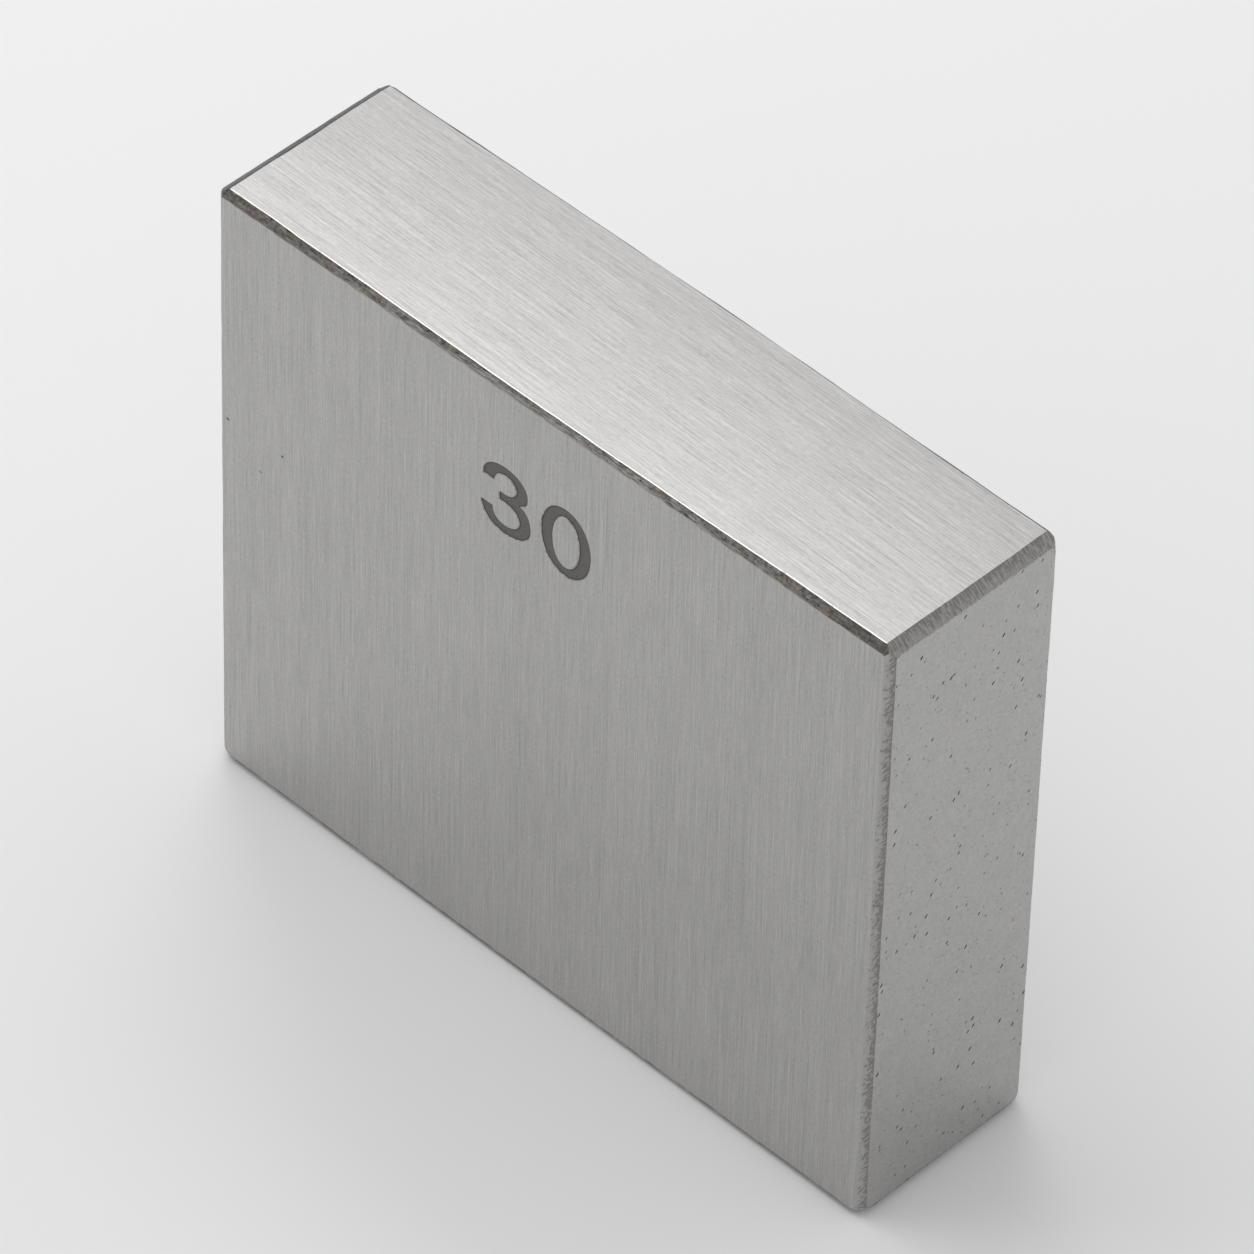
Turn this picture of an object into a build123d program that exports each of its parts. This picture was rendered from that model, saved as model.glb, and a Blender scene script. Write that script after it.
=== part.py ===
from build123d import *
import os

# Steel gauge block of 30 mm nominal length, ground and lapped from one bar of hardened steel.
# It stands on its lower measuring face. The origin is the middle of that face: X runs along
# the face, Y across it, and Z along the length that the block stands for.

# Driving dimensions, in millimetres
nominal_length = 30.0  # between the two measuring faces: the length that the block stands for
face_length = 35.0  # long side of the measuring faces
face_width = 9.0  # short side of the measuring faces
long_edge_break = 0.3  # flat along the long edges of the measuring faces
short_edge_break = 0.5  # flat along the short edges of the measuring faces
side_edge_break = 0.3  # flat along the four edges between the sides

# Each set of parallel edges is stoned straight through from end to end, so the block is
# what three prisms share, one along each axis, and the flats meet in mitred corners.
with BuildPart() as gauge_block:
    # Seen along Z: the measuring face, with the edges between the sides broken
    with BuildSketch(Plane.XY) as measuring_face_outline:
        Rectangle(face_length, face_width)
        chamfer(measuring_face_outline.vertices(), length=side_edge_break)
    extrude(amount=nominal_length)

    # Seen along Y: the wide side, with the short edges of both measuring faces broken
    with BuildSketch(Plane.XZ) as wide_side_outline:
        Rectangle(face_length, nominal_length, align=(Align.CENTER, Align.MIN))
        chamfer(wide_side_outline.vertices(), length=short_edge_break)
    extrude(amount=face_width / 2, both=True, mode=Mode.INTERSECT)

    # Seen along X: the narrow end, with the long edges of both measuring faces broken
    with BuildSketch(Plane.YZ) as narrow_end_outline:
        Rectangle(face_width, nominal_length, align=(Align.CENTER, Align.MIN))
        chamfer(narrow_end_outline.vertices(), length=long_edge_break)
    extrude(amount=face_length / 2, both=True, mode=Mode.INTERSECT)

gauge_block.part.label = "gauge_block"

os.makedirs("parts", exist_ok=True)
export_step(gauge_block.part, "parts/gauge_block.step")
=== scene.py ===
"""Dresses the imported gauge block: lapped, ground and stoned steel, etched figures and fine pits."""

import itertools
import math

import bmesh
import bpy
from mathutils import Matrix, Vector, noise
from mathutils.geometry import interpolate_bezier


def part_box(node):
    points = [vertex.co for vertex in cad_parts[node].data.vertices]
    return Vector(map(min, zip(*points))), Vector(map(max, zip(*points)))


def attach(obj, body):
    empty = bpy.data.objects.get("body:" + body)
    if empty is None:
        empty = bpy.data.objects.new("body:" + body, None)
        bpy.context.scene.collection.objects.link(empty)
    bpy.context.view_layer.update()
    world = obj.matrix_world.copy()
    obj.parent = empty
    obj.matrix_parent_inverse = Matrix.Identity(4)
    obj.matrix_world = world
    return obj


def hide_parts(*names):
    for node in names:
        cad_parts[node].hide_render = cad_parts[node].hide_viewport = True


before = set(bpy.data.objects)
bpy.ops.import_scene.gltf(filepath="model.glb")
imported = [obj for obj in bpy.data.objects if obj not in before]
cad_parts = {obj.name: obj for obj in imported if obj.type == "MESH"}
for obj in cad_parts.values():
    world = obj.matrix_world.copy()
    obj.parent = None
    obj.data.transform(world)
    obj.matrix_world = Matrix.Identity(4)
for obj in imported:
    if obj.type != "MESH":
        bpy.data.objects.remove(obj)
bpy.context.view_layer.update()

bl_info = {
    "name": "Gauge Block Dresser",
    "version": (1, 0, 0),
    "blender": (4, 5, 0),
    "location": "3D View > Sidebar > Gauge Block",
    "description": "Builds the finished look of a steel gauge block around its packed solid",
    "category": "Add Mesh",
}

MM = 0.001
X, Y, Z = range(3)
BLOCK_NODE = "gauge_block"
BLOCK_BODY = "root"
BLOCK_PIECE = "finished_block"
END_MATERIAL = "satin_narrow_end"
PIT_MATERIAL = "pit"

# Material slots of the block's skin
LAPPED, GROUND, SATIN, STONED, STROKED, FLECKED, POLISHED_AND_HIGHLIGHT = range(7)
FACE_SLOTS = {X: SATIN, Y: GROUND, Z: LAPPED}
EDGE_SLOTS = {X: STONED, Y: STROKED, Z: FLECKED}

node_low, node_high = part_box(BLOCK_NODE)
block_middle = (node_low + node_high) / 2
block_half = (node_high - node_low) / 2
nominal_length = node_high.z - node_low.z


def corner_reach(face_axis, along_axis):
    """How far a face of the solid reaches along one axis, from the block's middle."""
    face_at = block_half[face_axis]
    flat_enough = 1e-6
    points = [vertex.co - block_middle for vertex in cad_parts[BLOCK_NODE].data.vertices]
    return max(point[along_axis] for point in points if abs(point[face_axis] - face_at) < flat_enough)


# Legs of the flats along the edges that run with X, Y and Z, measured on the solid
edge_breaks = (
    block_half.y - corner_reach(Z, Y),
    block_half.x - corner_reach(Z, X),
    block_half.x - corner_reach(Y, X),
)
# The flats of the short edges are stoned at a slant, and reach less far down the narrow ends
END_LEG_SHARE = 0.72


def leg(edge_axis, side_axis):
    """How far the flat of the edges along one axis reaches in the direction of another."""
    slanted = edge_axis == Y and side_axis == Z
    return edge_breaks[edge_axis] * (END_LEG_SHARE if slanted else 1.0)


# Settings


class EdgeSettings(bpy.types.PropertyGroup):
    """How the stoned edges depart from perfectly even flats."""

    rounding: bpy.props.FloatProperty(
        name="Rounding",
        description="Width of the rounding along the measuring faces",
        default=0.022 * MM,
        unit="LENGTH",
        precision=6,
    )
    wander: bpy.props.FloatProperty(
        name="Wander",
        description="How far the borders of a flat wander, as hand stoning leaves them",
        default=0.03 * MM,
        unit="LENGTH",
        precision=6,
    )
    hollow: bpy.props.FloatProperty(
        name="Hollow",
        description="How much narrower the flats of the long edges are halfway along",
        default=0.11 * MM,
        unit="LENGTH",
        precision=6,
    )
    corner: bpy.props.FloatProperty(
        name="Corner",
        description="Radius of the corners of sides and ends at the foot and at the back's upper right",
        default=0.40 * MM,
        unit="LENGTH",
        precision=6,
    )
    crisp_corner: bpy.props.FloatProperty(
        name="Crisp corner",
        description="Radius of the other upper corners, which are crisper",
        default=0.15 * MM,
        unit="LENGTH",
        precision=6,
    )
    station: bpy.props.FloatProperty(
        name="Station",
        description="Distance between the points that shape the borders of a flat",
        default=0.25 * MM,
        unit="LENGTH",
        precision=6,
    )


class FigureSettings(bpy.types.PropertyGroup):
    """The etched figures on the front wide side."""

    size_text: bpy.props.StringProperty(
        name="Size",
        description="Nominal length in millimetres, as it is etched",
        default=f"{nominal_length / MM:.0f}",
    )
    size_height: bpy.props.FloatProperty(
        name="Size height",
        description="Height of the size figures",
        default=3.34 * MM,
        unit="LENGTH",
        precision=5,
    )
    size_drop: bpy.props.FloatProperty(
        name="Size drop",
        description="From the upper measuring face down to the middle of the size figures",
        default=5.73 * MM,
        unit="LENGTH",
        precision=5,
    )
    size_aside: bpy.props.FloatProperty(
        name="Size aside",
        description="From the middle of the wide side to the middle of the size figures",
        default=-0.40 * MM,
        unit="LENGTH",
        precision=5,
    )
    depth: bpy.props.FloatProperty(
        name="Depth",
        description="How deep the figures are etched",
        default=0.05 * MM,
        unit="LENGTH",
        precision=6,
    )
    rim: bpy.props.FloatProperty(
        name="Rim",
        description="Width of the pale rim around the figures",
        default=0.035 * MM,
        unit="LENGTH",
        precision=6,
    )
    # The darker border inside the figures is painted shade along the walls and the floor's edge
    border: bpy.props.FloatProperty(
        name="Border",
        description="Width of the darker border inside the figures",
        default=0.06 * MM,
        unit="LENGTH",
        precision=6,
    )


class PitSettings(bpy.types.PropertyGroup):
    """The fine pits in the narrow ends."""

    per_end: bpy.props.IntProperty(
        name="Pits per end",
        description="About how many pits a narrow end has",
        default=500,
        min=0,
    )
    length: bpy.props.FloatProperty(
        name="Length",
        description="Length of the largest pits",
        default=0.23 * MM,
        unit="LENGTH",
        precision=6,
    )
    width: bpy.props.FloatProperty(
        name="Width",
        description="Width of the largest pits",
        default=0.09 * MM,
        unit="LENGTH",
        precision=6,
    )
    depth: bpy.props.FloatProperty(
        name="Depth",
        description="Depth of the largest pits",
        default=0.06 * MM,
        unit="LENGTH",
        precision=6,
    )
    slant: bpy.props.FloatProperty(
        name="Slant",
        description="Angle of the pits above the measuring face's direction",
        default=math.radians(48),
        subtype="ANGLE",
    )
    seed: bpy.props.IntProperty(
        name="Seed",
        description="Changes where the pits lie",
        default=7,
    )


class FinishSettings(bpy.types.PropertyGroup):
    """Colours of the steel's finishes."""

    lapped: bpy.props.FloatVectorProperty(
        name="Lapped",
        description="Colour of the lapped measuring faces",
        default=(0.415, 0.404, 0.398),
        subtype="COLOR",
    )
    # The rounding is painted brighter than the lapped faces: partly a painted highlight, besides the one its
    # shape catches
    polished_and_highlight: bpy.props.FloatVectorProperty(
        name="Polished",
        description="Colour of the rounding along the measuring faces",
        default=(0.740, 0.730, 0.722),
        subtype="COLOR",
    )
    ground: bpy.props.FloatVectorProperty(
        name="Ground",
        description="Colour of the ground wide sides",
        default=(0.450, 0.445, 0.440),
        subtype="COLOR",
    )
    satin: bpy.props.FloatVectorProperty(
        name="Satin",
        description="Colour of the satin narrow ends",
        default=(0.462, 0.457, 0.452),
        subtype="COLOR",
    )
    stoned: bpy.props.FloatVectorProperty(
        name="Stoned",
        description="Colour of the stoned flats along the long edges",
        default=(0.170, 0.153, 0.140),
        subtype="COLOR",
    )
    stroked: bpy.props.FloatVectorProperty(
        name="Stroked",
        description="Colour of the stone's strokes on the other flats and at their borders",
        default=(0.225, 0.210, 0.197),
        subtype="COLOR",
    )
    etched: bpy.props.FloatVectorProperty(
        name="Etched",
        description="Colour of the etched figures",
        default=(0.105, 0.096, 0.088),
        subtype="COLOR",
    )
    pitted: bpy.props.FloatVectorProperty(
        name="Pitted",
        description="Colour inside the pits",
        default=(0.028, 0.025, 0.022),
        subtype="COLOR",
    )


class StageSettings(bpy.types.PropertyGroup):
    """The studio: floor, lights and camera."""

    floor_colour: bpy.props.FloatVectorProperty(
        name="Floor",
        description="Colour of the floor",
        default=(0.88, 0.88, 0.88),
        subtype="COLOR",
    )
    sky_level: bpy.props.FloatProperty(
        name="Sky",
        description="Brightness of the sky overhead",
        default=0.60,
    )
    horizon_level: bpy.props.FloatProperty(
        name="Horizon",
        description="Brightness of the sky at the horizon",
        default=0.85,
    )
    azimuth: bpy.props.FloatProperty(
        name="Azimuth",
        description="The camera's direction round the block, from the front",
        default=math.radians(43.38),
        subtype="ANGLE",
    )
    elevation: bpy.props.FloatProperty(
        name="Elevation",
        description="The camera's height above the horizon",
        default=math.radians(44.14),
        subtype="ANGLE",
    )
    roll: bpy.props.FloatProperty(
        name="Roll",
        description="The camera's tilt about its own line of sight",
        default=math.radians(1.76),
        subtype="ANGLE",
    )
    distance: bpy.props.FloatProperty(
        name="Distance",
        description="From the camera to the middle of the block",
        default=395.8 * MM,
        unit="LENGTH",
    )
    aside: bpy.props.FloatProperty(
        name="Aside",
        description="How far the camera stands to the right of the block's middle",
        default=0.15 * MM,
        unit="LENGTH",
        precision=5,
    )
    above: bpy.props.FloatProperty(
        name="Above",
        description="How far the camera stands above the block's middle",
        default=0.80 * MM,
        unit="LENGTH",
        precision=5,
    )
    lens: bpy.props.FloatProperty(
        name="Lens",
        description="Focal length of the camera, in millimetres",
        default=300.0,
    )


# Node helpers


# Sockets of a Mix node that blends colours, which share their names with its other sockets
MIX_MASK, MIX_FIRST, MIX_SECOND = 0, 6, 7
MIX_COLOUR = 2
# The range that holds most values of a noise pattern
NOISE_RANGE = (0.25, 0.75)


def add_node(tree, kind, values=None, **settings):
    """Adds a node. A value that is a socket is linked, and any other is set on the input."""
    node = tree.nodes.new(kind)
    for name, setting in settings.items():
        setattr(node, name, setting)
    for name, value in (values or {}).items():
        if isinstance(value, bpy.types.NodeSocket):
            tree.links.new(value, node.inputs[name])
        else:
            node.inputs[name].default_value = value
    return node


def maths(tree, operation, first, second=0.0, clamped=False):
    """The output of a Math node."""
    node = add_node(tree, "ShaderNodeMath", {0: first, 1: second}, operation=operation, use_clamp=clamped)
    return node.outputs[0]


def remap(tree, value, old, new, smooth=False):
    """Takes a value from the range old to the range new, and stops at its ends."""
    kind = "SMOOTHSTEP" if smooth else "LINEAR"
    values = {"Value": value, "From Min": old[0], "From Max": old[1], "To Min": new[0], "To Max": new[1]}
    return add_node(tree, "ShaderNodeMapRange", values, interpolation_type=kind).outputs["Result"]


def scaled(tree, vector, factors):
    """A vector with each of its parts multiplied."""
    node = add_node(tree, "ShaderNodeVectorMath", {0: vector, 1: factors}, operation="MULTIPLY")
    return node.outputs[0]


def noise_of(tree, vector, scale, detail=2.0, roughness=0.5):
    """The value of a noise pattern, about 0.5 on the whole."""
    values = {"Vector": vector, "Scale": scale, "Detail": detail, "Roughness": roughness}
    return add_node(tree, "ShaderNodeTexNoise", values).outputs[0]


def toned(tree, colour, tone):
    """A colour made lighter or darker by a tone that is 1 where it stays as it is."""
    grey = add_node(tree, "ShaderNodeCombineColor", {"Red": tone, "Green": tone, "Blue": tone}).outputs[0]
    return mixed(tree, 1.0, colour, grey, blend="MULTIPLY")


def mixed(tree, mask, first, second, blend="MIX"):
    """The first colour where the mask is 0 and the second where it is 1, or another blend of the two."""
    values = {MIX_MASK: mask, MIX_FIRST: first, MIX_SECOND: second}
    node = add_node(tree, "ShaderNodeMix", values, data_type="RGBA", blend_type=blend)
    return node.outputs[MIX_COLOUR]


def added(tree, first, *others):
    """The sum of two or more values."""
    total = first
    for other in others:
        total = maths(tree, "ADD", total, other)
    return total


def swing(tree, pattern, amount):
    """A noise pattern as a change of tone, from minus to plus an amount."""
    return remap(tree, pattern, NOISE_RANGE, (-amount, amount))


def mask_of(tree, pattern, low, high):
    """A mask that is 0 below the low value of a pattern, 1 above the high one and soft between them."""
    return remap(tree, pattern, (low, high), (0.0, 1.0), smooth=True)


def part_of(tree, place, axis):
    """How far along one axis a place lies."""
    return add_node(tree, "ShaderNodeSeparateXYZ", {0: place}).outputs[axis]


def inward(tree, place, axis):
    """How far a place lies inside the block's faces that are square to an axis, in millimetres."""
    from_middle = maths(tree, "SUBTRACT", part_of(tree, place, axis), block_middle[axis] / MM)
    return maths(tree, "SUBTRACT", block_half[axis] / MM, maths(tree, "ABSOLUTE", from_middle))


def new_group(name, inputs, outputs):
    """An empty shader node group with named inputs and outputs, and its two end nodes."""
    tree = bpy.data.node_groups.new(name, "ShaderNodeTree")
    for label, kind, default in inputs:
        socket = tree.interface.new_socket(label, in_out="INPUT", socket_type=kind)
        if default is not None:
            socket.default_value = default
    for label in outputs:
        tree.interface.new_socket(label, in_out="OUTPUT", socket_type="NodeSocketFloat")
    return tree, tree.nodes.new("NodeGroupInput").outputs, tree.nodes.new("NodeGroupOutput").inputs


def use_group(tree, group, values):
    """Places a shader node group in a material and returns its outputs."""
    return add_node(tree, "ShaderNodeGroup", values, node_tree=group).outputs


# Shared effects


def grain_lines_group():
    """Fine lines along the first axis of the place that is given, as grinding and lapping leave them."""
    tree, given, result = new_group(
        "Grain lines",
        [
            ("Place", "NodeSocketVector", None),
            ("Lines per mm", "NodeSocketFloat", 12.0),
            ("Stretch", "NodeSocketFloat", 40.0),
            ("Waviness", "NodeSocketFloat", 0.05),
            ("Fan", "NodeSocketFloat", 0.02),
        ],
        ["Lines", "Bands", "Scratches"],
    )
    bend_per_mm = 0.45
    bend = noise_of(tree, given["Place"], bend_per_mm, detail=1.0)
    bend = maths(tree, "MULTIPLY", maths(tree, "SUBTRACT", bend, 0.5), given["Waviness"])
    parts = add_node(tree, "ShaderNodeSeparateXYZ", {0: given["Place"]}).outputs
    across = maths(tree, "ADD", parts["Y"], bend)
    along = maths(tree, "DIVIDE", parts["X"], given["Stretch"])

    def flow(shortening, lean, layer):
        """The place with its first axis drawn out along the lines, leaning a little, in its own layer."""
        shift = maths(tree, "MULTIPLY", parts["X"], maths(tree, "MULTIPLY", given["Fan"], lean))
        values = {
            "X": maths(tree, "MULTIPLY", along, shortening),
            "Y": maths(tree, "ADD", across, shift),
            "Z": maths(tree, "ADD", parts["Z"], layer),
        }
        return add_node(tree, "ShaderNodeCombineXYZ", values).outputs[0]

    # Short, middling and long strokes: how much shorter they are, their lean, their strength and their layer
    strokes_of_lines = ((3.0, -1.0, 0.50, 0.0), (1.0, 0.2, 0.65, 10.0), (0.35, 1.0, 0.58, 20.0))
    lines = 0.5
    for shortening, lean, weight, layer in strokes_of_lines:
        strokes = noise_of(tree, flow(shortening, lean, layer), given["Lines per mm"], detail=1.0)
        lines = added(tree, maths(tree, "MULTIPLY", maths(tree, "SUBTRACT", strokes, 0.5), weight), lines)
    tree.links.new(lines, result["Lines"])
    coarser, sparser = 0.06, 0.75
    wide = maths(tree, "MULTIPLY", given["Lines per mm"], coarser)
    tree.links.new(noise_of(tree, flow(1.0, 0.0, 40.0), wide, detail=2.0), result["Bands"])
    thinned = maths(tree, "MULTIPLY", given["Lines per mm"], sparser)
    few = noise_of(tree, flow(0.35, -0.6, 50.0), thinned, detail=1.0)
    tree.links.new(mask_of(tree, few, 0.66, 0.76), result["Scratches"])
    return tree


def cloudy_tone_group():
    """A soft, slow change of tone about 1."""
    tree, given, result = new_group(
        "Cloudy tone",
        [
            ("Place", "NodeSocketVector", None),
            ("Patches per mm", "NodeSocketFloat", 0.3),
            ("Amount", "NodeSocketFloat", 0.05),
        ],
        ["Tone"],
    )
    cloud = noise_of(tree, given["Place"], given["Patches per mm"], detail=3.0)
    darkest = maths(tree, "SUBTRACT", 1.0, given["Amount"])
    lightest = maths(tree, "ADD", 1.0, given["Amount"])
    tree.links.new(remap(tree, cloud, (0.0, 1.0), (darkest, lightest)), result["Tone"])
    return tree


def frayed_border_group():
    """A mask of strokes that reach in from a border and thin out on the way."""
    tree, given, result = new_group(
        "Frayed border",
        [
            ("Distance", "NodeSocketFloat", 0.0),
            ("Along", "NodeSocketFloat", 0.0),
            ("Reach", "NodeSocketFloat", 0.2),
            ("Strokes along", "NodeSocketFloat", 6.0),
            ("Strokes inward", "NodeSocketFloat", 1.5),
            ("Density", "NodeSocketFloat", 0.0),
        ],
        ["Mask"],
    )
    along = maths(tree, "MULTIPLY", given["Along"], given["Strokes along"])
    inward_strokes = maths(tree, "MULTIPLY", given["Distance"], given["Strokes inward"])
    place = add_node(tree, "ShaderNodeCombineXYZ", {"X": along, "Y": inward_strokes}).outputs[0]
    strokes = noise_of(tree, place, 1.0, detail=2.0, roughness=0.6)
    share_of_reach = maths(tree, "DIVIDE", given["Distance"], given["Reach"], clamped=True)
    nearness = maths(tree, "SUBTRACT", 1.0, share_of_reach, clamped=True)
    coarser = (0.06, 0.0, 0.0)
    patches = noise_of(tree, scaled(tree, place, coarser), 1.0, detail=1.0)
    level = added(
        tree,
        strokes,
        maths(tree, "MULTIPLY", nearness, 0.22),
        given["Density"],
        remap(tree, patches, (0.3, 0.7), (-0.10, 0.10)),
    )
    shown = mask_of(tree, level, 0.55, 0.80)
    tree.links.new(maths(tree, "MULTIPLY", shown, mask_of(tree, nearness, 0.0, 0.6)), result["Mask"])
    return tree


# Materials


def opaque(colour):
    """A colour setting as the four numbers that a shader takes."""
    return (*colour, 1.0)


def new_metal(name, metallic=1.0):
    """A material with its shader, and the place on the block in millimetres."""
    material = bpy.data.materials.new(name)
    material.use_nodes = True
    tree = material.node_tree
    shader = tree.nodes["Principled BSDF"]
    shader.inputs["Metallic"].default_value = metallic
    place = add_node(tree, "ShaderNodeTexCoord").outputs["Object"]
    return material, tree, shader, scaled(tree, place, (1 / MM,) * 3)


def turned(tree, place, angles):
    """A place seen from axes that are turned, so that a pattern can run along the first one."""
    values = {"Vector": place, "Rotation": tuple(math.radians(angle) for angle in angles)}
    return add_node(tree, "ShaderNodeMapping", values).outputs[0]


def set_surface(tree, shader, colour, roughness):
    """Links a colour and a roughness to the shader."""
    tree.links.new(colour, shader.inputs["Base Color"])
    tree.links.new(roughness, shader.inputs["Roughness"])


def bump_from(tree, shader, height, strength, rise):
    """Gives the shader a bump from a height pattern, with its rise in metres."""
    values = {"Height": height, "Strength": strength, "Distance": rise}
    tree.links.new(add_node(tree, "ShaderNodeBump", values).outputs[0], shader.inputs["Normal"])


def lapped_steel(finish, effects):
    """Bright measuring face with fine lapping lines along it, almost straight."""
    material, tree, shader, place = new_metal("lapped_measuring_face")
    fine = use_group(
        tree,
        effects["grain"],
        {
            "Place": turned(tree, place, (0, 0, 1)),
            "Lines per mm": 21.0,
            "Stretch": 62.0,
            "Waviness": 0.02,
            "Fan": 0.018,
        },
    )
    cloud = use_group(tree, effects["cloud"], {"Place": place, "Patches per mm": 0.35, "Amount": 0.02})
    strokes_per_mm = (4.0, 16.0, 16.0)
    strokes = noise_of(tree, scaled(tree, place, strokes_per_mm), 1.0, detail=1.0)
    tone = added(
        tree,
        cloud["Tone"],
        swing(tree, fine["Lines"], 0.22),
        swing(tree, strokes, 0.09),
        swing(tree, fine["Bands"], 0.02),
        maths(tree, "MULTIPLY", fine["Scratches"], 0.12),
    )
    colour = toned(tree, opaque(finish.lapped), tone)
    set_surface(tree, shader, colour, remap(tree, fine["Bands"], (0.2, 0.8), (0.276, 0.290)))
    bump_from(tree, shader, fine["Lines"], 0.10, 0.002 * MM)
    return material


def ground_steel(finish, effects, edges):
    """Wide side with upright grinding lines, and slivers where it meets the flats of the long edges."""
    material, tree, shader, place = new_metal("ground_wide_side")
    # The lines run along the first axis, so the upright one is turned onto it
    upright = turned(tree, turned(tree, place, (0, 90, 0)), (90, 0, 0))
    fine = use_group(
        tree,
        effects["grain"],
        {"Place": upright, "Lines per mm": 24.0, "Stretch": 84.0, "Waviness": 0.02, "Fan": 0.010},
    )
    cloud = use_group(tree, effects["cloud"], {"Place": place, "Patches per mm": 0.12, "Amount": 0.04})
    strokes_per_mm = (18.0, 18.0, 5.0)
    strokes = noise_of(tree, scaled(tree, place, strokes_per_mm), 1.0, detail=1.0)
    tone = added(
        tree,
        cloud["Tone"],
        swing(tree, fine["Lines"], 0.175),
        swing(tree, strokes, 0.10),
        swing(tree, fine["Bands"], 0.04),
        maths(tree, "MULTIPLY", fine["Scratches"], 0.09),
    )
    steel = toned(tree, opaque(finish.ground), tone)
    # The flats are narrower halfway along, and the slivers lie where they would otherwise be
    along = part_of(tree, place, X)
    share = maths(tree, "DIVIDE", along, (block_half.x - leg(Z, X)) / MM)
    hollow = maths(tree, "SUBTRACT", 1.0, maths(tree, "MULTIPLY", share, share), clamped=True)
    hollow = maths(tree, "MULTIPLY", maths(tree, "MULTIPLY", hollow, hollow), edges.hollow / MM)
    from_flat = maths(tree, "SUBTRACT", inward(tree, place, Z), leg(X, Z) / MM)
    frayed = use_group(
        tree,
        effects["fray"],
        {
            "Distance": maths(tree, "ADD", from_flat, hollow),
            "Along": along,
            "Reach": maths(tree, "ADD", hollow, 0.08),
            "Strokes along": 1.3,
            "Strokes inward": 11.0,
            "Density": 0.08,
        },
    )
    colour = mixed(tree, frayed["Mask"], steel, opaque(finish.stroked))
    set_surface(tree, shader, colour, remap(tree, fine["Bands"], (0.2, 0.8), (0.34, 0.44)))
    bump_from(tree, shader, fine["Lines"], 0.12, 0.003 * MM)
    return material


def satin_steel(finish, effects):
    """Narrow end: smooth satin with faint clouds and specks, frayed below the flats of its short edges."""
    material, tree, shader, place = new_metal(END_MATERIAL)
    cloud = use_group(tree, effects["cloud"], {"Place": place, "Patches per mm": 0.9, "Amount": 0.05})
    grit = noise_of(tree, place, 7.0, detail=2.0)
    slant, specks_per_mm, faintness = 42, (1.0, 3.4, 8.0), 0.20
    specks = noise_of(tree, scaled(tree, turned(tree, place, (slant, 0, 0)), specks_per_mm), 1.0, detail=1.0)
    specks = maths(tree, "MULTIPLY", mask_of(tree, specks, 0.68, 0.76), -faintness)
    steel = toned(tree, opaque(finish.satin), added(tree, cloud["Tone"], swing(tree, grit, 0.10), specks))
    frayed = use_group(
        tree,
        effects["fray"],
        {
            "Distance": maths(tree, "SUBTRACT", inward(tree, place, Z), leg(Y, Z) / MM),
            "Along": part_of(tree, place, Y),
            "Reach": 0.12,
            "Strokes along": 9.0,
            "Strokes inward": 3.0,
        },
    )
    colour = mixed(tree, frayed["Mask"], steel, opaque(finish.stroked * 1.30))
    set_surface(tree, shader, colour, remap(tree, grit, (0.2, 0.8), (0.36, 0.42)))
    bump_from(tree, shader, grit, 0.15, 0.003 * MM)
    return material


def stoned_steel(finish):
    """Flats of the long edges: dark and dull, streaked along the edge, with pale slivers at the wide side."""
    material, tree, shader, place = new_metal("stoned_long_edge")
    streaks_per_mm, slivers_per_mm = (2.5, 8.0, 8.0), (1.6, 16.0, 16.0)
    streaks = noise_of(tree, scaled(tree, place, streaks_per_mm), 1.0, detail=2.0)
    granules = noise_of(tree, place, 7.0, detail=3.0, roughness=0.65)
    dark = toned(
        tree,
        opaque(finish.stoned),
        added(tree, 1.0, swing(tree, streaks, 0.45), swing(tree, granules, 0.65)),
    )
    # Darker towards the ends, where the pale slivers fade as well
    aside = maths(tree, "ABSOLUTE", part_of(tree, place, X))
    dark = toned(tree, dark, remap(tree, aside, (9.0, 16.0), (1.0, 0.80)))
    slivers = noise_of(tree, scaled(tree, place, slivers_per_mm), 1.0, detail=2.0, roughness=0.6)
    slivers = added(tree, slivers, remap(tree, inward(tree, place, Y), (0.0, 0.2), (0.10, -0.10)))
    midway = remap(tree, aside, (8.0, 15.0), (0.75, 0.10))
    pale = maths(tree, "MULTIPLY", mask_of(tree, slivers, 0.53, 0.64), midway)
    colour = mixed(tree, pale, dark, opaque(finish.ground * 0.8))
    set_surface(tree, shader, colour, remap(tree, granules, (0.2, 0.8), (0.45, 0.60)))
    bump_from(tree, shader, granules, 0.5, 0.006 * MM)
    return material


def stroked_steel(finish):
    """Flats of the short edges: dark strokes of the stone across pale steel, with painted shade on the flats
    at the left end.
    """
    material, tree, shader, place = new_metal("stroked_short_edge")
    strokes_per_mm = (2.5, 13.0, 2.5)
    strokes = noise_of(tree, scaled(tree, place, strokes_per_mm), 1.0, detail=2.0, roughness=0.6)
    from_end = inward(tree, place, X)
    breadth = edge_breaks[Y] / MM
    density = remap(tree, from_end, (0.0, breadth), (-0.05, 0.09))
    dark = mask_of(tree, added(tree, strokes, density), 0.46, 0.62)
    mottle = noise_of(tree, place, 9.0, detail=2.0)
    light = toned(tree, opaque(finish.ground), remap(tree, mottle, NOISE_RANGE, (0.66, 0.90)))
    colour = mixed(tree, dark, light, opaque(finish.stroked * 1.1))
    # Painted shade: the flats at the left end are darkened, less next to the narrow end and most next to the
    # measuring face
    painted_shade_at_left = remap(tree, from_end, (0.40 * breadth, 0.75 * breadth), (0.47, 0.22))
    painted_shade_left_end = maths(tree, "MAXIMUM", painted_shade_at_left, remap(tree, part_of(tree, place, X), (-1.0, 1.0), (0.0, 1.0)))
    set_surface(tree, shader, toned(tree, colour, painted_shade_left_end), remap(tree, strokes, (0.2, 0.8), (0.38, 0.55)))
    bump_from(tree, shader, strokes, 0.4, 0.006 * MM)
    return material


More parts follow.
